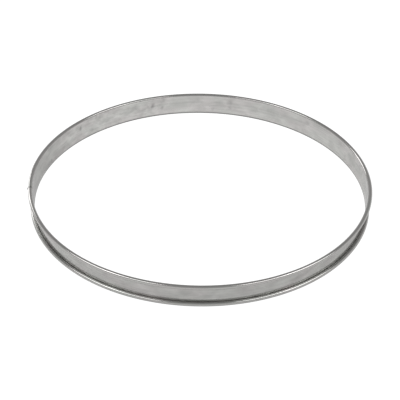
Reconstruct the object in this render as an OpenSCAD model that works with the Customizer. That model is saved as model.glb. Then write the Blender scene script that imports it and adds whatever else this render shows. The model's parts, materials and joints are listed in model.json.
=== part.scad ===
// Tart ring: one strip of thin stainless sheet closed into a hoop. The wall is smooth inside, stands
// upright under the rim and narrows a little towards the foot. Both long edges are rolled outwards
// into equal round beads, and the strip's two ends are butt-welded. The ring stands on its foot
// bead, with the origin at the centre of the circle it stands on and +Z up. The bare middle is the
// opening that the pastry fills.

/* [Ring] */
// Inner diameter of the upright wall under the rim
inner_diameter = 280; // [160:10:320]
// Height from the lowest point of the foot bead to the top of the rim bead
ring_height = 20; // [16:1:40]
// How much smaller the inner diameter is at the foot
taper = 1.9; // [0:0.1:3]
// Height of the upright wall, up to the rim bead's centre
upright_height = 5; // [4:0.5:8]

/* [Sheet] */
// Thickness of the sheet
sheet_thickness = 0.5; // [0.4:0.05:0.6]

/* [Rolled edges] */
// Outer diameter of the beads rolled along the rim and the foot
bead_diameter = 3.4; // [3:0.1:4.5]
// Slit left between the sheet's free edge and the wall it curls back to
curl_slit = 0.2; // [0.1:0.05:0.3]

/* [Welded joint] */
// Direction of the joint around the ring, anticlockwise from +X seen from above
joint_angle = 186.5; // [0:0.5:359.5]
// Width of the weld along the ring
weld_width = 2.4; // [1:0.1:4]
// How far the weld stands out of the beads
weld_height = 0.5; // [0.2:0.05:0.6]
// Height over which the weld is ground off, at the rim and at the foot
weld_trim = 0.8; // [0.5:0.1:1]

/* [Hidden] */

STEEL_COLOUR = [0.74, 0.74, 0.73];
FACETS_AROUND = 360;
FACETS_OF_BEAD = 64;
// Share of the sheet's thickness by which the weld reaches into it, so that the two are one solid
WELD_ROOT_SHARE = 0.5;
// Angle around the foot bead over which the wall laps into the bead's sheet
FOOT_LAP = 15;
// Share of its height that the weld keeps on the wall, where it is hammered flatter than on the beads
WALL_WELD_SHARE = 0.3;

inner_radius = inner_diameter / 2;
bead_radius = bead_diameter / 2;
// Centres of the two beads in section, as distance from the axis and height
rim_centre = [inner_radius + bead_radius, ring_height - bead_radius];
foot_centre = [inner_radius - taper / 2 + bead_radius, bead_radius];
// Height up to which the wall leans, and its lean there: its inner face starts as a tangent of the
// foot bead and meets the upright wall at that height
lean_top = ring_height - bead_radius - upright_height;
lean_run = [bead_radius - taper / 2, lean_top - bead_radius];
lean = atan2(lean_run[1], lean_run[0]) - acos(bead_radius / norm(lean_run));
// Angle at a bead's centre from the wall's side to the free edge, whose outer corner then stands
// one slit away from the wall's outer face
free_edge_angle = acos(1 - (sheet_thickness + curl_slit) / bead_radius);
weld_root = sheet_thickness * WELD_ROOT_SHARE;
wall_weld_height = weld_height * WALL_WELD_SHARE;
// Angle that the weld's width takes up around the ring
weld_angle = weld_width / (inner_radius + sheet_thickness) * 180 / PI;

// Points of the wall at a depth below its inner face: where it leaves the foot bead, where it
// becomes upright, and where it reaches the rim bead
function foot_point(depth) = foot_centre + (bead_radius - depth) * [-cos(lean), sin(lean)];
function bend_point(depth) = [inner_radius + depth, lean_top - depth * tan(lean / 2)];
function rim_point(depth) = [inner_radius + depth, rim_centre[1]];

// A layer of the wall in section, between two depths below its inner face. At the foot it laps into
// the bead's sheet, so that the two are one solid.
module wall_section(near_depth, far_depth) {
    lap_radius = bead_radius - (near_depth + far_depth) / 2;
    lap_angle = lean - FOOT_LAP;
    polygon([
        foot_point(near_depth),
        foot_centre + lap_radius * [-cos(lap_angle), sin(lap_angle)],
        foot_point(far_depth),
        bend_point(far_depth),
        rim_point(far_depth),
        rim_point(near_depth),
        bend_point(near_depth)
    ]);
}

// One rolled edge in section, for a foot bead centred on the origin with an upright wall: a tube of
// sheet that starts at the wall, runs under the bead and round its outer side, and stops at the
// free edge.
module curl_section() {
    reach = 2 * bead_radius;
    difference() {
        circle(r = bead_radius, $fn = FACETS_OF_BEAD);
        circle(r = bead_radius - sheet_thickness, $fn = FACETS_OF_BEAD);
        polygon([
            [0, 0],
            [-reach, 0],
            [-reach, reach],
            [-reach * cos(free_edge_angle), reach * sin(free_edge_angle)]
        ]);
    }
}

// The whole strip in section: foot bead, wall and rim bead.
module strip_section() {
    translate(foot_centre)
        rotate([0, 0, -lean])
            curl_section();
    wall_section(0, sheet_thickness);
    translate(rim_centre)
        mirror([0, 1])
            curl_section();
}

// The weld on one bead in section: a thin band that stands out of the bead's outer half.
module bead_weld_section() {
    difference() {
        circle(r = bead_radius + weld_height, $fn = FACETS_OF_BEAD);
        circle(r = bead_radius - weld_root, $fn = FACETS_OF_BEAD);
        translate([-bead_diameter, -bead_diameter])
            square([bead_diameter, 2 * bead_diameter]);
    }
}

// Keeps what lies between the same distance from the foot and from the rim.
module clear_of_ends(distance) {
    intersection() {
        children();
        translate([0, distance])
            square([inner_radius + 2 * bead_diameter, ring_height - 2 * distance]);
    }
}

// The weld across the strip in section. It is ground off at the rim and the foot, and is flush inside.
module weld_section() {
    clear_of_ends(weld_trim)
        for (centre = [foot_centre, rim_centre])
            translate(centre)
                bead_weld_section();
    clear_of_ends(bead_diameter)
        wall_section(sheet_thickness - weld_root, sheet_thickness + wall_weld_height);
}

// The hoop: the strip's section turned once around the axis.
module rolled_strip() {
    rotate_extrude($fn = FACETS_AROUND)
        strip_section();
}

// The weld, as wide as weld_width, centred on the joint.
module butt_weld() {
    rotate([0, 0, joint_angle - weld_angle / 2])
        rotate_extrude(angle = weld_angle, $fn = FACETS_AROUND)
            weld_section();
}

// The finished ring, one piece of metal.
module tart_ring() {
    color(STEEL_COLOUR) {
        union() {
            rolled_strip();
            butt_weld();
        }
    }
}

tart_ring();
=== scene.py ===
import json
import math

import bmesh
import bpy
from bpy.props import FloatProperty, FloatVectorProperty, IntProperty, PointerProperty
from mathutils import Matrix, Vector


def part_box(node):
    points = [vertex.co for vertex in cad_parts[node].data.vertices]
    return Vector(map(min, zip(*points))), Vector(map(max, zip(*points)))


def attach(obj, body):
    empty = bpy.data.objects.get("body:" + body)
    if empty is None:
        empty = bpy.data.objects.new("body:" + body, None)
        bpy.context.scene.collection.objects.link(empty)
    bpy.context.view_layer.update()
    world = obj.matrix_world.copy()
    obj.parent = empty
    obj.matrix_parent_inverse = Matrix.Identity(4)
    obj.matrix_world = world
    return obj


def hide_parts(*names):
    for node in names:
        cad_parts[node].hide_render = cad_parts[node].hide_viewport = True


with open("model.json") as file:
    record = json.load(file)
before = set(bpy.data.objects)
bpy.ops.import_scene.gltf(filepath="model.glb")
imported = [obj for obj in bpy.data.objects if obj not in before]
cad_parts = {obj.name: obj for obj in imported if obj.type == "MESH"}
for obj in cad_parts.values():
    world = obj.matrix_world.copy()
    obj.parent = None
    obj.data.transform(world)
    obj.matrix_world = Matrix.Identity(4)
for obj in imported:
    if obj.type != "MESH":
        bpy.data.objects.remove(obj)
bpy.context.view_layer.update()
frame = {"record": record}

bl_info = {
    "name": "Tart ring",
    "version": (1, 0, 0),
    "blender": (4, 5, 0),
    "location": "View3D > Sidebar > Tart ring",
    "description": "Models a tart ring with rolled edges and sets it on a plain studio floor",
    "category": "Mesh",
}

CAD_NODE = "tart_ring"
# The box of the solids, taken before anything is modelled
MM = 0.001

# The solid's own sizes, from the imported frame: the upright stretch of the inner wall is a mount.
# The rim bead makes up the rest of the radius, and the drawn-in foot what is left of the height.
rim_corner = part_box(CAD_NODE)[1]
wall_mount = frame["record"]["mounts"][0]
FRAME_INNER_RADIUS = wall_mount["dims"]["r_mm"] * MM
FRAME_HEIGHT = round(rim_corner.z, 4)
FRAME_BEAD = round(rim_corner.y, 4) - FRAME_INNER_RADIUS
FRAME_FOOT_HEIGHT = FRAME_HEIGHT - FRAME_BEAD / 2 - wall_mount["dims"]["length_mm"] * MM

# Steps of the mesh around a bead, and cuts across the drawn-in foot and across the wall above it
CURL_STEPS = 26
WALL_CUTS = 6
# Vertices closer than this are at the same place.
SAME_PLACE = 1e-6
# Edges that turn by less than this many degrees are shaded smooth.
SMOOTH_ANGLE = 40

# Handling marks on the inner wall: direction around the ring in degrees, height in millimetres,
# size in millimetres and darkness
HANDLING_MARKS = (
    (109.0, 11.7, 6.5, 0.42),
    (105.3, 8.4, 5.5, 0.32),
    (104.8, 16.6, 7.0, 0.18),
    (116.4, 5.5, 8.0, 0.14),
    (116.4, 13.0, 8.0, 0.14),
    (133.5, 17.2, 5.5, 0.26),
    (132.0, 14.0, 8.0, 0.16),
    (141.4, 12.8, 6.5, 0.34),
    (160.3, 4.7, 4.5, 0.26),
    (85.7, 4.7, 5.0, 0.18),
    (79.0, 7.4, 5.5, 0.18),
    (78.7, 13.2, 6.5, 0.14),
    (46.0, 14.0, 6.0, 0.14),
)
# How far the marks' outlines are frayed
MARK_FRAY = 1.0 * MM
# Stretch of the inner wall, in degrees around the ring, that is more blotched than the rest, and
# the degrees over which the blotches fade at its two ends
BLOTCHED_STRETCH = (105.0, 150.0)
BLOTCH_FADE = 8

# Noise is stretched between these two values, which nearly all of it keeps to.
NOISE_RANGE = (0.3, 0.7)
# Two faint tints between which the steel varies, as factors on its colour
ROSY_TINT = (1.012, 0.995, 0.99)
MOSSY_TINT = (0.995, 1.003, 0.985)
# Depths in the sheet between which its inner side passes over to its outer side
INSIDE_DEPTHS = (0.15 * MM, 0.3 * MM)
# Distances out from the wall's outer face between which the beads' finish begins
BEAD_BEGINS = (0.1 * MM, 0.5 * MM)
# At the foot, what is nearer than this to the bead's inner side is the wall, and the rest the curl.
WALL_REACH = 0.9 * MM
# Distance from the foot bead's surface that still counts as on it
BEAD_TOLERANCE = 0.1 * MM

# Painted light: the inner wall is made lighter, most of all low down: the heights between which
# this changes, the shares by which it is lighter at them, and the turn, in degrees, over which it
# ends
INNER_GAIN_HEIGHTS = (3 * MM, 12 * MM)
INNER_GAINS = (0.22, 0.11)
INNER_GAIN_END = (134, 158)

# The metal is painted darker in five places, as painted shade. Each has the range over which its
# shade comes or goes, and the share of light that is lost in the full shade.
# Painted shade where the foot bead closes against the wall, in degrees up from the bead's outermost
# point
CLOSING_ANGLES, CLOSING_SHADE = (47, 67), 0.36
# Painted shadow along the line that the ring stands on, as heights, and again beside it on the
# inner side, which begins that far in from the foot bead's centre
STANDING_HEIGHTS, STANDING_SHADE = (0.5 * MM, 1.8 * MM), 0.64
INNER_STANDING_HEIGHTS, INNER_STANDING_SHADE = (1.2 * MM, 2.3 * MM), 0.66
INNER_STANDING_SIDE = -0.3 * MM
# Painted shade where the inner wall turns over to the rim, as shares of the bead's radius out from
# the wall
RIM_TURN_SHARES, RIM_TURN_SHADE = (0.3, 0.6), 0.2
# Painted shade along the rim's top, as depths below it
CREST_DEPTHS, CREST_SHADE = (0.45 * MM, 0.2 * MM), 0.2

# The groove between wall and foot bead: where it begins on the bead, in degrees up from the bead's
# outermost point, and on the wall, as heights above the bead, and how much rougher it is
GROOVE_ANGLES = (55, 80)
GROOVE_RISE = (2.2 * MM, 0.8 * MM)
GROOVE_ROUGHNESS = 0.2

# Share of the sheet's tone that the weld keeps, and how much rougher it is
WELD_TONE = 0.6
WELD_ROUGHNESS = 0.12

# Area lights around the ring: name, azimuth and elevation in degrees, distance, width and height in
# metres, and brightness as a share of the softboxes' brightness
SOFTBOXES = (
    ("right_softbox", 80, 45, 1.6, 0.75, 0.64, 1.0),
    ("left_softbox", -78, 46, 1.6, 0.75, 0.62, 1.0),
    ("window_softbox", -136, 17, 1.8, 0.55, 1.0, 1.0),
    ("right_card", 50, 50, 1.6, 0.8, 0.45, 1.0),
    ("left_card", -49, 50, 1.6, 0.8, 0.45, 0.95),
)
TABLE_FILL = ("table_fill", -110, 42, 0.7, 0.3, 0.3, 1.8)
# Light from all round, at the horizon and overhead. It is at its dimmest from this height up on a
# globe of radius 1.
HORIZON_LIGHT, OVERHEAD_LIGHT, DIMMEST_HEIGHT = 0.56, 0.35, 0.7
# Radius of the boards in metres, and width of the camera's sensor in millimetres
BOARD_RADIUS = 4.0
SENSOR_WIDTH = 36.0


class TartRingSizes(bpy.types.PropertyGroup):
    """Sizes of the strip and its rolled edges."""

    inner_radius: FloatProperty(
        name="Inner radius", description="Radius of the wall's inner face",
        default=FRAME_INNER_RADIUS, min=0.05, max=0.3, unit="LENGTH")
    height: FloatProperty(
        name="Height", description="From the bottom of the foot bead to the top of the rim bead",
        default=FRAME_HEIGHT, min=0.01, max=0.1, unit="LENGTH")
    bead: FloatProperty(
        name="Bead", description="Outer diameter of the beads along the rim and the foot",
        default=FRAME_BEAD, min=0.002, max=0.01, unit="LENGTH")
    draw_in: FloatProperty(
        name="Draw-in",
        description="How much smaller the radius of the foot is than that of the rim",
        default=0.95 * MM, min=0.0, max=0.002, unit="LENGTH")
    foot_height: FloatProperty(
        name="Foot height", description="Height over which the foot is drawn in",
        default=FRAME_FOOT_HEIGHT, min=0.004, max=0.02, unit="LENGTH")
    sheet: FloatProperty(
        name="Sheet", description="Thickness of the sheet",
        default=0.5 * MM, min=0.0003, max=0.001, unit="LENGTH")
    slit: FloatProperty(
        name="Slit", description="Gap between the sheet's free edge and the wall it curls back to",
        default=0.2 * MM, min=0.0001, max=0.001, unit="LENGTH")
    columns: IntProperty(
        name="Columns", description="Steps of the mesh around the ring, the joint left out",
        default=480, min=64, max=720)


class TartRingJoint(bpy.types.PropertyGroup):
    """The butt weld where the strip's two ends meet."""

    angle: FloatProperty(
        name="Direction", description="Where the joint is, anticlockwise from +X",
        default=math.radians(186.5), subtype="ANGLE")
    width: FloatProperty(
        name="Width", description="Width of the weld along the ring",
        default=2.4 * MM, min=0.0005, max=0.006, unit="LENGTH")
    height: FloatProperty(
        name="Height", description="How far the weld stands out of the beads",
        default=0.5 * MM, min=0.0, max=0.001, unit="LENGTH")
    wall_share: FloatProperty(
        name="Share on the wall", description="Share of its height that the weld keeps on the wall",
        default=0.3, min=0.0, max=1.0, subtype="FACTOR")
    trim: FloatProperty(
        name="Trim", description="Height over which the weld is ground off at the rim and the foot",
        default=0.8 * MM, min=0.0, max=0.002, unit="LENGTH")
    columns: IntProperty(
        name="Columns", description="Steps of the mesh across the joint",
        default=24, min=8, max=40)


class TartRingFinish(bpy.types.PropertyGroup):
    """Colour and finish of the steel."""

    steel: FloatVectorProperty(
        name="Steel", description="Colour of the bare sheet",
        default=(0.62, 0.615, 0.606), size=3, min=0.0, max=1.0, subtype="COLOR")
    wall_roughness: FloatProperty(
        name="Wall roughness", description="Roughness of the brushed wall",
        default=0.12, min=0.0, max=1.0, subtype="FACTOR")
    bead_roughness: FloatProperty(
        name="Bead roughness", description="Roughness of the beads, which rolling has smoothed",
        default=0.11, min=0.0, max=1.0, subtype="FACTOR")
    brushing: FloatProperty(
        name="Brushing", description="How strongly the brush lines around the wall show",
        default=0.10, min=0.0, max=0.5, subtype="FACTOR")
    cloudiness: FloatProperty(
        name="Cloudiness", description="How strongly the sheet's soft clouds of tone show",
        default=0.12, min=0.0, max=0.5, subtype="FACTOR")


class TartRingStage(bpy.types.PropertyGroup):
    """Floor, lights and camera."""

    camera_distance: FloatProperty(
        name="Camera distance", description="From the middle of the ring to the camera",
        default=0.933091, min=0.3, max=5.0, unit="LENGTH")
    camera_elevation: FloatProperty(
        name="Camera elevation", description="Angle of the camera above the floor",
        default=math.radians(34.533138), subtype="ANGLE")
    camera_tilt: FloatProperty(
        name="Camera tilt", description="Turn of the view upwards from the middle of the ring",
        default=math.radians(-0.637701), subtype="ANGLE")
    camera_roll: FloatProperty(
        name="Camera roll", description="Turn of the view about its own line of sight",
        default=math.radians(-0.698210), subtype="ANGLE")
    focal_length: FloatProperty(
        name="Focal length", description="Focal length on a sensor 36 mm wide, in millimetres",
        default=99.5303, min=20.0, max=300.0)
    box_radiance: FloatProperty(
        name="Softbox brightness", description="Brightness of the softboxes' faces",
        default=1.85, min=0.0, max=50.0)


def deselect_everything():
    """Leaves object mode with nothing selected and nothing active."""
    if bpy.context.object and bpy.context.object.mode != "OBJECT":
        bpy.ops.object.mode_set(mode="OBJECT")
    bpy.ops.object.select_all(action="DESELECT")
    bpy.context.view_layer.objects.active = None


def select_only(mesh, chosen):
    """Selects just the vertices for which chosen(vertex) is true, in edit mode."""
    bpy.ops.mesh.select_mode(type="VERT")
    bm = bmesh.from_edit_mesh(mesh)
    for element in (*bm.verts, *bm.edges, *bm.faces):
        element.select = False
    found = [vert for vert in bm.verts if chosen(vert)]
    if not found:
        raise RuntimeError("no vertex is at the place that the next step works on")
    for vert in found:
        vert.select = True
    bm.select_flush_mode()
    bmesh.update_edit_mesh(mesh)


def near(*points):
    """A test for select_only: the vertex is at one of the points."""
    return lambda vert: any((vert.co - point).length < SAME_PLACE for point in points)


def smooth_step(value, low, high):
    """0 below low, 1 above high and a soft S between them."""
    share = min(max((value - low) / (high - low), 0.0), 1.0)
    return share * share * (3 - 2 * share)


class SectionPlane:
    """The upright half-plane at one direction around the ring, in which the section is drawn."""

    def __init__(self, angle):
        self.outwards = Vector((math.cos(angle), math.sin(angle), 0.0))
        self.along = Vector((-math.sin(angle), math.cos(angle), 0.0))

    def point(self, radius, height):
        return self.outwards * radius + Vector((0.0, 0.0, height))


def curl_sweep(sizes):
    """Angle through which the sheet turns around a bead before it ends one slit from the wall."""
    return 2 * math.pi - math.acos(1 - (sizes.sheet + sizes.slit) / (sizes.bead / 2))


def foot_lean(sizes):
    """Lean of the drawn-in stretch, which runs from the foot bead's side up to the upright wall."""
    across, up = sizes.bead / 2 - sizes.draw_in, sizes.foot_height - sizes.bead / 2
    return math.atan2(up, across) - math.acos(sizes.bead / 2 / math.hypot(across, up))


def draw_section(mesh, sizes, plane):
    """Draws the sheet's middle line: up the drawn-in foot and the wall, and around both beads."""
    half, bead_radius, lean = sizes.sheet / 2, sizes.bead / 2, foot_lean(sizes)
    foot_radius = sizes.inner_radius - sizes.draw_in + bead_radius
    reach = bead_radius - half
    wall_foot = plane.point(foot_radius - reach * math.cos(lean),
                            bead_radius + reach * math.sin(lean))
    knee = plane.point(sizes.inner_radius + half, sizes.foot_height - half * math.tan(lean / 2))
    wall_top = plane.point(sizes.inner_radius + half, sizes.height - bead_radius)
    rim_centre = plane.point(sizes.inner_radius + bead_radius, sizes.height - bead_radius)
    foot_centre = plane.point(foot_radius, bead_radius)
    sweep = curl_sweep(sizes)

    bpy.ops.mesh.select_all(action="SELECT")
    bpy.ops.mesh.merge(type="CENTER")
    bpy.ops.mesh.select_all(action="SELECT")
    bm = bmesh.from_edit_mesh(mesh)
    start = next(iter(bm.verts)).co.copy()
    bpy.ops.transform.translate(value=wall_foot - start)
    for step in (knee - wall_foot, wall_top - knee):
        bpy.ops.mesh.extrude_region_move(TRANSFORM_OT_translate={"value": step})
    bpy.ops.mesh.spin(steps=CURL_STEPS, angle=-sweep, center=rim_centre, axis=plane.along)
    select_only(mesh, near(wall_foot))
    bpy.ops.mesh.spin(steps=CURL_STEPS, angle=sweep, center=foot_centre, axis=plane.along)
    for end in (wall_foot, wall_top):
        select_only(mesh, near(end, knee))
        bpy.ops.mesh.subdivide(number_cuts=WALL_CUTS)


def joint_sector(sizes, joint):
    """Angle of the finely stepped stretch around the joint: three times the weld's width."""
    return 3 * joint.width / sizes.inner_radius


def turn_section(sizes, joint):
    """Turns the section around the axis: one long sweep, then a fine one across the joint."""
    sector = joint_sector(sizes, joint)
    bpy.ops.mesh.select_all(action="SELECT")
    bpy.ops.mesh.spin(steps=sizes.columns, angle=sector - 2 * math.pi,
                      center=(0, 0, 0), axis=(0, 0, 1))
    bpy.ops.mesh.spin(steps=joint.columns, angle=-sector, center=(0, 0, 0), axis=(0, 0, 1))
    bpy.ops.mesh.select_all(action="SELECT")
    bpy.ops.mesh.remove_doubles(threshold=SAME_PLACE)
    bpy.ops.mesh.normals_make_consistent(inside=False)


def apply_modifier(piece, kind, **settings):
    """Adds one modifier to the active piece and applies it."""
    modifier = piece.modifiers.new(kind.title(), kind)
    for key, value in settings.items():
        setattr(modifier, key, value)
    bpy.ops.object.modifier_apply(modifier=modifier.name)


def weld_share(place, sizes, joint):
    """Share of the weld's height at a vertex: all of it on the outer half of the beads, less on the
    wall's outer side, and nothing inside, beside the joint or where it is ground off."""
    radius = math.hypot(place.x, place.y)
    turn = math.remainder(math.atan2(place.y, place.x) - joint.angle, 2 * math.pi)
    across = 1 - smooth_step(abs(turn) * radius, joint.width * 0.2, joint.width * 0.5)
    from_end = min(place.z, sizes.height - place.z)
    bead_radius = sizes.bead / 2
    drawn_in = sizes.draw_in if place.z < sizes.height / 2 else 0.0
    centre = sizes.inner_radius + bead_radius - drawn_in
    from_centre = math.hypot(radius - centre, from_end - bead_radius)
    middle = sizes.sheet / 2
    if from_end < sizes.bead and radius > centre and from_centre > bead_radius - middle:
        return across * smooth_step(from_end, joint.trim, 2 * joint.trim)
    on_wall = sizes.foot_height < place.z < sizes.height - sizes.bead
    if on_wall and radius > sizes.inner_radius + middle:
        return across * joint.wall_share
    return 0.0


def raise_weld(ring, sizes, joint):
    """Lets the weld stand out of the outer side."""
    group = ring.vertex_groups.new(name="weld")
    for vert in ring.data.vertices:
        share = weld_share(vert.co, sizes, joint)
        if share > 0.0:
            group.add([vert.index], share, "REPLACE")
    apply_modifier(ring, "DISPLACE", direction="NORMAL", strength=joint.height, mid_level=0.0,
                   vertex_group=group.name)


class TARTRING_OT_strip(bpy.types.Operator):
    """Models the ring: one strip of sheet with both edges rolled outwards, joined end to end"""

    bl_idname = "tartring.strip"
    bl_label = "Rolled strip"

    def execute(self, context):
        sizes, joint = context.scene.tart_ring_sizes, context.scene.tart_ring_joint
        plane = SectionPlane(joint.angle + joint_sector(sizes, joint) / 2)
        deselect_everything()
        bpy.ops.mesh.primitive_plane_add(size=sizes.sheet, location=(0, 0, 0))
        ring = context.object
        ring.name = ring.data.name = "rolled_strip"
        bpy.ops.object.mode_set(mode="EDIT")
        draw_section(ring.data, sizes, plane)
        turn_section(sizes, joint)
        bpy.ops.object.mode_set(mode="OBJECT")
        apply_modifier(ring, "SOLIDIFY", thickness=sizes.sheet, offset=0.0,
                       use_even_offset=True, use_quality_normals=True)
        raise_weld(ring, sizes, joint)
        bpy.ops.object.shade_smooth_by_angle(angle=math.radians(SMOOTH_ANGLE))
        ring.data.materials.append(steel_material(context.scene))
        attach(ring, "root")
        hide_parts(CAD_NODE)
        return {"FINISHED"}


class NodeSheet:
    """Adds and joins shader nodes with short calls."""

    def __init__(self, tree):
        self.tree = tree

    def add(self, kind, inputs=(), **settings):
        node = self.tree.nodes.new(kind)
        for key, value in settings.items():
            setattr(node, key, value)
        for key, value in dict(inputs).items():
            self.set(node, key, value)
        return node

    def set(self, node, key, value):
        if isinstance(value, bpy.types.NodeSocket):
            self.tree.links.new(value, node.inputs[key])
        else:
            node.inputs[key].default_value = value

    def math(self, operation, first, second=0.0, third=0.0):
        node = self.add("ShaderNodeMath", {0: first, 1: second, 2: third}, operation=operation)
        return node.outputs[0]

    def product(self, first, second):
        return self.math("MULTIPLY", first, second)

    def highest(self, first, *others):
        """The highest of the values at each point."""
        for other in others:
            first = self.math("MAXIMUM", first, other)
        return first

    def remap(self, value, low, high, to_low=0.0, to_high=1.0, smooth=False):
        node = self.add("ShaderNodeMapRange", {
            "Value": value, "From Min": low, "From Max": high,
            "To Min": to_low, "To Max": to_high,
        }, interpolation_type="SMOOTHSTEP" if smooth else "LINEAR")
        return node.outputs["Result"]

    def spread(self, noise, amount):
        """Noise stretched so that it runs from -amount to amount."""
        return self.remap(noise, *NOISE_RANGE, -amount, amount)

    def combine(self, x, y, z):
        return self.add("ShaderNodeCombineXYZ", {0: x, 1: y, 2: z}).outputs[0]

    def length(self, x, y):
        """Distance from the origin to (x, y)."""
        node = self.add("ShaderNodeVectorMath", {0: self.combine(x, y, 0.0)}, operation="LENGTH")
        return node.outputs["Value"]

    def distance(self, first, second):
        """Distance between two points."""
        node = self.add("ShaderNodeVectorMath", {0: first, 1: second}, operation="DISTANCE")
        return node.outputs["Value"]

    def mix(self, share, first, second):
        """Mixes two colours, which are a Mix node's inputs 6 and 7 and its output 2."""
        node = self.add("ShaderNodeMix", data_type="RGBA")
        self.set(node, 0, share)
        self.set(node, 6, first)
        self.set(node, 7, second)
        return node.outputs[2]

    def scaled(self, colour, factor):
        node = self.add("ShaderNodeVectorMath", {0: colour, "Scale": factor}, operation="SCALE")
        return node.outputs[0]


class RingPlace:
    """Where a point is on the sheet: along the ring, up, and from the axis, all in metres."""

    def __init__(self, sheet, sizes, joint):
        self.sheet = sheet
        place = sheet.add("ShaderNodeTexCoord").outputs["Object"]
        x, y, self.height = sheet.add("ShaderNodeSeparateXYZ", {0: place}).outputs
        self.radius = sheet.length(x, y)
        # The angle is counted from the far side, so that it starts and ends at the joint.
        cosine, sine = math.cos(joint.angle), math.sin(joint.angle)
        away = sheet.math("ADD", sheet.product(x, -cosine), sheet.product(y, -sine))
        aside = sheet.math("ADD", sheet.product(x, sine), sheet.product(y, -cosine))
        self.turn = sheet.math("ARCTAN2", aside, away)
        self.arc = sheet.product(self.turn, sizes.inner_radius)
        # 1 on the wall's inner face and 0 on its outer one, which both follow its lean
        lean_share = sheet.remap(self.height, 0.0, sizes.foot_height, 1.0, 0.0)
        face = sheet.math("MULTIPLY_ADD", lean_share, sizes.draw_in, self.radius)
        begin, end = (sizes.inner_radius + depth for depth in INSIDE_DEPTHS)
        self.inside = sheet.remap(face, begin, end, 1.0, 0.0)

    def noise(self, along, across, detail=2.0, roughness=0.5, distortion=0.0):
        """Noise whose spots are that long and that high, in metres."""
        sheet = self.sheet
        vector = sheet.combine(sheet.math("DIVIDE", self.arc, along),
                               sheet.math("DIVIDE", self.height, across),
                               sheet.math("DIVIDE", self.radius, across))
        node = sheet.add("ShaderNodeTexNoise", {
            "Vector": vector, "Scale": 1.0, "Detail": detail, "Roughness": roughness,
            "Distortion": distortion})
        return node.outputs["Fac"]


class FootBeadPlace:
    """Where a point is on the foot bead's section, seen from the bead's centre."""

    def __init__(self, sheet, place, sizes):
        bead_radius = sizes.bead / 2
        centre = sizes.inner_radius - sizes.draw_in + bead_radius
        self.outwards = sheet.math("SUBTRACT", place.radius, centre)
        upwards = sheet.math("SUBTRACT", place.height, bead_radius)
        self.around = sheet.math("ARCTAN2", upwards, self.outwards)
        from_surface = sheet.math("SUBTRACT", sheet.length(self.outwards, upwards), bead_radius)
        on_bead = sheet.math("COMPARE", from_surface, 0.0, BEAD_TOLERANCE)
        # What is farther in than this limit is the wall.
        self.wall_limit = WALL_REACH - bead_radius
        beside_wall = sheet.math("GREATER_THAN", self.outwards, self.wall_limit)
        self.curl = sheet.product(on_bead, beside_wall)


def turn_of(degrees, joint):
    """A direction around the ring as the angle that RingPlace counts."""
    return math.remainder(math.radians(degrees) - joint.angle - math.pi, 2 * math.pi)


def bead_mask(sheet, place, sizes):
    """1 on the beads and 0 on the wall between them."""
    bead_radius = sizes.bead / 2
    begin, end = (sizes.inner_radius + sizes.sheet + distance for distance in BEAD_BEGINS)
    outwards = sheet.remap(place.radius, begin, end)
    above = sheet.remap(place.height, sizes.height - bead_radius, sizes.height - bead_radius / 2)
    below = sheet.remap(place.height, bead_radius, bead_radius / 2)
    return sheet.highest(outwards, above, below)


def weld_mask(sheet, place, sizes, joint):
    """1 on the weld, which is where the arc starts and ends, with soft edges."""
    half_round = math.pi * sizes.inner_radius
    begin, end = half_round - 0.7 * joint.width, half_round - 0.3 * joint.width
    return sheet.remap(sheet.math("ABSOLUTE", place.arc), begin, end, smooth=True)


def handling_marks(sheet, place, sizes, joint):
    """Soft dark smudges at their places on the inner wall, frayed by noise."""
    fray = sheet.spread(place.noise(5 * MM, 4 * MM, detail=3.0), MARK_FRAY)
    spot = sheet.combine(sheet.math("ADD", place.arc, fray),
                         sheet.math("SUBTRACT", place.height, fray), 0.0)
    total = 0.0
    for degrees, height, size, darkness in HANDLING_MARKS:
        centre = (turn_of(degrees, joint) * sizes.inner_radius, height * MM, 0.0)
        away = sheet.distance(spot, centre)
        mark = sheet.remap(away, size / 2 * MM, 0.0, 0.0, darkness, smooth=True)
        total = sheet.highest(total, mark)
    return sheet.product(total, place.inside)


def blotches(sheet, place, joint):
    """Uneven tone, from -1 to 1, on one stretch of the inner wall."""
    first, last = (turn_of(degrees, joint) for degrees in BLOTCHED_STRETCH)
    fade = math.radians(BLOTCH_FADE)
    begun = sheet.remap(place.turn, first - fade, first + fade, smooth=True)
    ended = sheet.remap(place.turn, last - fade, last + fade, 1.0, 0.0, smooth=True)
    stretch = sheet.product(sheet.product(begun, ended), place.inside)
    tone = sheet.spread(place.noise(7 * MM, 4 * MM, detail=3.0, distortion=0.4), 1.0)
    return sheet.product(tone, stretch)


def wall_tone(sheet, place, finish, joint, lines):
    """Uneven tone of the wall, around 0: brush lines, wider streaks, clouds and blotches."""
    streaks = place.noise(80 * MM, 1.3 * MM, detail=2.0)
    clouds = place.noise(12 * MM, 7 * MM, detail=3.0, distortion=0.6)
    tone = sheet.math("ADD", sheet.spread(streaks, finish.brushing / 2),
                      sheet.spread(lines, finish.brushing))
    tone = sheet.math("ADD", tone, sheet.spread(clouds, finish.cloudiness))
    return sheet.math("MULTIPLY_ADD", blotches(sheet, place, joint), finish.cloudiness, tone)


def painted_inner_light(sheet, place):
    """Share of painted light by which the inner wall is made lighter, which ends towards the joint.
    """
    gain = sheet.remap(place.height, *INNER_GAIN_HEIGHTS, *INNER_GAINS, smooth=True)
    begin, end = (math.radians(degrees) for degrees in INNER_GAIN_END)
    return sheet.product(gain, sheet.remap(place.turn, begin, end, 1.0, 0.0, smooth=True))


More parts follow.
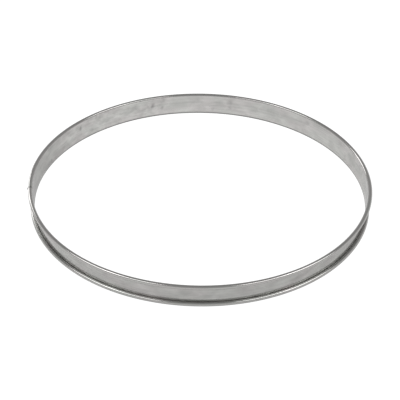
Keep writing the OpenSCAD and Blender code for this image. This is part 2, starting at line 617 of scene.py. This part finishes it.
def painted_roll_shade(sheet, place, sizes, foot):
    """Share by which the metal is painted darker, as painted shade: where the foot bead closes
    against the wall, along the line that it stands on, where the inner wall turns over to the rim,
    and along the rim's top."""
    bead_radius, top = sizes.bead / 2, sizes.height
    begin, end = (math.radians(degrees) for degrees in CLOSING_ANGLES)
    closing = sheet.product(foot.curl, sheet.remap(
        foot.around, begin, end, 0.0, CLOSING_SHADE, smooth=True))
    standing = sheet.remap(place.height, *STANDING_HEIGHTS, STANDING_SHADE, 0.0, smooth=True)
    inner_side = sheet.math("LESS_THAN", foot.outwards, INNER_STANDING_SIDE)
    inner_standing = sheet.product(inner_side, sheet.remap(
        place.height, *INNER_STANDING_HEIGHTS, INNER_STANDING_SHADE, 0.0, smooth=True))
    rim = sheet.remap(place.height, top - bead_radius, top - 0.8 * bead_radius, smooth=True)
    begin, end = (sizes.inner_radius + share * bead_radius for share in RIM_TURN_SHARES)
    rim_turn = sheet.product(rim, sheet.remap(place.radius, begin, end, RIM_TURN_SHADE, 0.0))
    begin, end = (top - depth for depth in CREST_DEPTHS)
    crest = sheet.remap(place.height, begin, end, 0.0, CREST_SHADE, smooth=True)
    return sheet.highest(closing, standing, inner_standing, rim_turn, crest)


def groove_mask(sheet, place, sizes, foot):
    """1 in the groove between wall and foot bead, which polishing doesn't reach."""
    begin, end = (math.radians(degrees) for degrees in GROOVE_ANGLES)
    on_bead = sheet.product(sheet.remap(foot.around, begin, end, smooth=True), foot.curl)
    begin, end = (sizes.bead + rise for rise in GROOVE_RISE)
    low = sheet.remap(place.height, begin, end, smooth=True)
    outer_wall = sheet.product(sheet.math("SUBTRACT", 1.0, place.inside),
                               sheet.math("LESS_THAN", foot.outwards, foot.wall_limit))
    return sheet.highest(on_bead, sheet.product(low, outer_wall))


def steel_colour(sheet, place, steel):
    """The steel's colour, which varies between two faint tints."""
    rosy, mossy = ((*(channel * factor for channel, factor in zip(steel, tint)), 1.0)
                   for tint in (ROSY_TINT, MOSSY_TINT))
    share = sheet.remap(place.noise(26 * MM, 14 * MM, detail=1.0), 0.4, 0.6, smooth=True)
    return sheet.mix(share, mossy, rosy)


def steel_material(scene):
    """Brushed stainless sheet: fine lines around the wall, soft clouds and a few handling marks."""
    finish, sizes, joint = scene.tart_ring_finish, scene.tart_ring_sizes, scene.tart_ring_joint
    material = bpy.data.materials.new("brushed_stainless")
    material.use_nodes = True
    sheet = NodeSheet(material.node_tree)
    material.node_tree.nodes.clear()
    place = RingPlace(sheet, sizes, joint)
    foot = FootBeadPlace(sheet, place, sizes)
    bead = bead_mask(sheet, place, sizes)
    weld = weld_mask(sheet, place, sizes, joint)
    lines = place.noise(30 * MM, 0.25 * MM, detail=3.0, roughness=0.6)

    wall = sheet.math("SUBTRACT", 1.0, bead)
    tone = sheet.math("MULTIPLY_ADD", wall_tone(sheet, place, finish, joint, lines), wall, 1.0)
    # Painted light: the inner wall is made lighter, most of all low down.
    tone = sheet.math("MULTIPLY_ADD", place.inside, painted_inner_light(sheet, place), tone)
    tone = sheet.math("SUBTRACT", tone, handling_marks(sheet, place, sizes, joint))
    tone = sheet.product(tone, sheet.remap(weld, 0.0, 1.0, 1.0, WELD_TONE))
    # Painted shade: darker where the foot bead closes against the wall, along the standing line,
    # where the inner wall turns over to the rim and along the rim's top.
    shade = painted_roll_shade(sheet, place, sizes, foot)
    tone = sheet.product(tone, sheet.math("SUBTRACT", 1.0, shade))
    colour = sheet.scaled(steel_colour(sheet, place, finish.steel), tone)

    roughness = sheet.remap(bead, 0.0, 1.0, finish.wall_roughness, finish.bead_roughness)
    roughness = sheet.math("ADD", roughness, sheet.remap(weld, 0.0, 1.0, 0.0, WELD_ROUGHNESS))
    groove = groove_mask(sheet, place, sizes, foot)
    roughness = sheet.math("MULTIPLY_ADD", groove, GROOVE_ROUGHNESS, roughness)
    bump = sheet.add("ShaderNodeBump", {"Height": lines, "Strength": 0.06, "Distance": 0.02 * MM})
    tangent = sheet.add("ShaderNodeTangent", direction_type="RADIAL", axis="Z")
    shader = sheet.add("ShaderNodeBsdfPrincipled", {
        "Base Color": colour, "Metallic": 1.0, "Roughness": roughness, "Normal": bump.outputs[0],
        "Anisotropic": 0.3, "Anisotropic Rotation": 0.25, "Tangent": tangent.outputs[0]})
    sheet.add("ShaderNodeOutputMaterial", {"Surface": shader.outputs["BSDF"]})
    return material


def direction(azimuth, elevation):
    """Unit vector to a place around the ring: azimuth 0 is the camera's side and 90 degrees the
    right, and the elevation is counted up from the floor."""
    azimuth, elevation = math.radians(azimuth), math.radians(elevation)
    return Vector((math.sin(azimuth) * math.cos(elevation),
                   -math.cos(azimuth) * math.cos(elevation), math.sin(elevation)))


def softbox(name, azimuth, elevation, distance, width, height, radiance):
    """An area light facing the ring, with the brightness of its face given as radiance."""
    place = direction(azimuth, elevation) * distance
    turn = (-place).to_track_quat("-Z", "Y").to_euler()
    bpy.ops.object.light_add(type="AREA", location=place, rotation=turn)
    light = bpy.context.object
    light.name = light.data.name = name
    light.data.shape = "RECTANGLE"
    light.data.size, light.data.size_y = width, height
    light.data.energy = radiance * math.pi * width * height
    return light


def place_camera(stage, sizes):
    """The camera on the -Y side, aimed at the middle of the ring, then tilted and rolled."""
    seat = direction(0.0, math.degrees(stage.camera_elevation)) * stage.camera_distance
    forward = -seat.normalized()
    right = Vector((1.0, 0.0, 0.0))
    up = right.cross(forward)
    tilt = Matrix.Rotation(stage.camera_tilt, 3, right)
    forward, up = tilt @ forward, tilt @ up
    roll = Matrix.Rotation(stage.camera_roll, 3, forward)
    right, up = roll @ right, roll @ up
    turn = Matrix((right, up, -forward)).transposed()
    seat.z += sizes.height / 2
    bpy.ops.object.camera_add(location=seat, rotation=turn.to_euler())
    camera = bpy.context.object
    camera.name = camera.data.name = "photo_camera"
    camera.data.lens = stage.focal_length
    camera.data.sensor_width = SENSOR_WIDTH
    camera.data.clip_start, camera.data.clip_end = 0.05, 20.0
    bpy.context.scene.camera = camera


def studio_world(scene):
    """Soft light from all round, dimmer overhead than at the horizon."""
    world = bpy.data.worlds.new("studio")
    scene.world = world
    world.use_nodes = True
    sheet = NodeSheet(world.node_tree)
    world.node_tree.nodes.clear()
    place = sheet.add("ShaderNodeTexCoord").outputs["Generated"]
    height = sheet.add("ShaderNodeSeparateXYZ", {0: place}).outputs["Z"]
    strength = sheet.remap(height, 0.0, DIMMEST_HEIGHT, HORIZON_LIGHT, OVERHEAD_LIGHT)
    light = sheet.add("ShaderNodeBackground", {"Color": (1.0, 1.0, 1.0, 1.0), "Strength": strength})
    sheet.add("ShaderNodeOutputWorld", {"Surface": light.outputs[0]})


def board_material(name, albedo, glow):
    """Pale matt board with a little light of its own, as a lit table has."""
    material = bpy.data.materials.new(name)
    material.use_nodes = True
    board = material.node_tree.nodes["Principled BSDF"]
    board.inputs["Base Color"].default_value = (albedo, albedo, albedo, 1.0)
    board.inputs["Roughness"].default_value = 1.0
    board.inputs["Specular IOR Level"].default_value = 0.0
    board.inputs["Emission Color"].default_value = (1.0, 1.0, 1.0, 1.0)
    board.inputs["Emission Strength"].default_value = glow
    return material


def studio_board(name, albedo, glow):
    """A wide round board to stand the ring on, which needs no shadow of its own."""
    bpy.ops.mesh.primitive_circle_add(vertices=96, radius=BOARD_RADIUS, fill_type="NGON",
                                      location=(0, 0, 0))
    board = bpy.context.object
    board.name = board.data.name = name
    board.data.materials.append(board_material(name, albedo, glow))
    board.visible_shadow = False
    return board


class TARTRING_OT_stage(bpy.types.Operator):
    """Adds the pale floor, the soft lights and the camera"""

    bl_idname = "tartring.stage"
    bl_label = "Studio stage"

    def execute(self, context):
        scene = context.scene
        stage, sizes = scene.tart_ring_stage, scene.tart_ring_sizes
        deselect_everything()
        # Two boards at one height: the camera sees the white one, and the steel mirrors the table.
        backdrop = studio_board("white_floor", albedo=0.30, glow=0.84)
        backdrop.visible_diffuse = backdrop.visible_glossy = False
        table = studio_board("pale_table", albedo=0.42, glow=0.345)
        table.visible_camera = False
        studio_world(scene)
        for *form, share in SOFTBOXES:
            softbox(*form, stage.box_radiance * share)
        # This one lights the table and isn't mirrored.
        *form, share = TABLE_FILL
        softbox(*form, stage.box_radiance * share).visible_glossy = False
        place_camera(stage, sizes)
        scene.view_settings.view_transform = "Standard"
        return {"FINISHED"}


class TARTRING_PT_panel(bpy.types.Panel):
    """Lists the steps and their sizes"""

    bl_idname = "TARTRING_PT_panel"
    bl_label = "Tart ring"
    bl_space_type = "VIEW_3D"
    bl_region_type = "UI"
    bl_category = "Tart ring"

    def draw(self, context):
        for group in PROPERTY_GROUPS:
            values = getattr(context.scene, group)
            column = self.layout.column(align=True)
            for name in values.bl_rna.properties.keys():
                if name not in {"rna_type", "name"}:
                    column.prop(values, name)
        for operator in (TARTRING_OT_strip, TARTRING_OT_stage):
            self.layout.operator(operator.bl_idname)


PROPERTY_GROUPS = {
    "tart_ring_sizes": TartRingSizes,
    "tart_ring_joint": TartRingJoint,
    "tart_ring_finish": TartRingFinish,
    "tart_ring_stage": TartRingStage,
}
CLASSES = (*PROPERTY_GROUPS.values(), TARTRING_OT_strip, TARTRING_OT_stage, TARTRING_PT_panel)


def register():
    for cls in CLASSES:
        bpy.utils.register_class(cls)
    for name, group in PROPERTY_GROUPS.items():
        setattr(bpy.types.Scene, name, PointerProperty(type=group))


def unregister():
    for name in PROPERTY_GROUPS:
        delattr(bpy.types.Scene, name)
    for cls in reversed(CLASSES):
        bpy.utils.unregister_class(cls)


def main():
    register()
    bpy.ops.tartring.strip()
    bpy.ops.tartring.stage()


if __name__ == "__main__":
    main()
